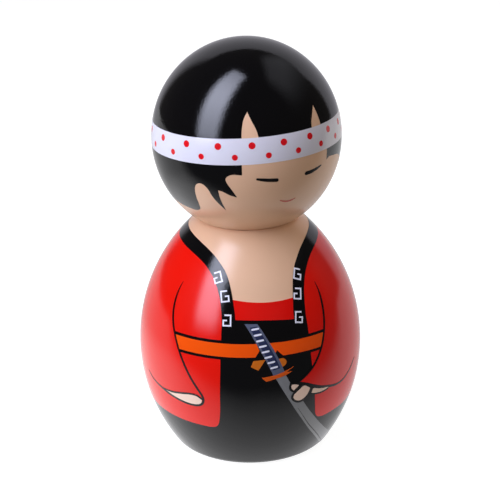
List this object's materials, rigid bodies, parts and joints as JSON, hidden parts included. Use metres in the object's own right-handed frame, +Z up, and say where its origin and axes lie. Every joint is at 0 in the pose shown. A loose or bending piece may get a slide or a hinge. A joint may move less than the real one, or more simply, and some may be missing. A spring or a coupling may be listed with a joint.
{
  "type": "kokeshi doll",
  "caption": "Lacquered wooden kokeshi doll: round turned body on a flat base, egg-shaped head that swivels on a neck peg, painted with a headband, coat and sword.",
  "frame": {"origin": "middle of the underside, on the surface the doll stands on", "axes": "+Z up along the lathe axis; the painted front of the body faces -Y"},
  "size_m": [0.0708, 0.0708, 0.13],
  "materials": {
    "body_lacquer": "gloss lacquer over turned wood",
    "head_lacquer": "gloss lacquer over turned wood",
    "peg_wood": "bare hardwood dowel",
    "collar_felt": "pressed felt",
    "washer_steel": "zinc plated",
    "screw_steel": "zinc plated",
    "plug_wood": "bare turned wood",
    "pad_felt": "pressed felt"
  },
  "bodies": {
    "body": {"turned_body": "body_lacquer", "base_plug": "plug_wood", "base_pad": "pad_felt", "neck_collar": "collar_felt"},
    "head": {"turned_head": "head_lacquer", "neck_peg": "peg_wood", "retaining_washer": "washer_steel", "retaining_screw": "screw_steel"}
  },
  "joints": [
    {"name": "head_turn", "type": "hinge", "parent": "body", "child": "head", "pos_m": [0, 0, 0.075], "axis": [0, 0, 1], "continuous": true}
  ]
}
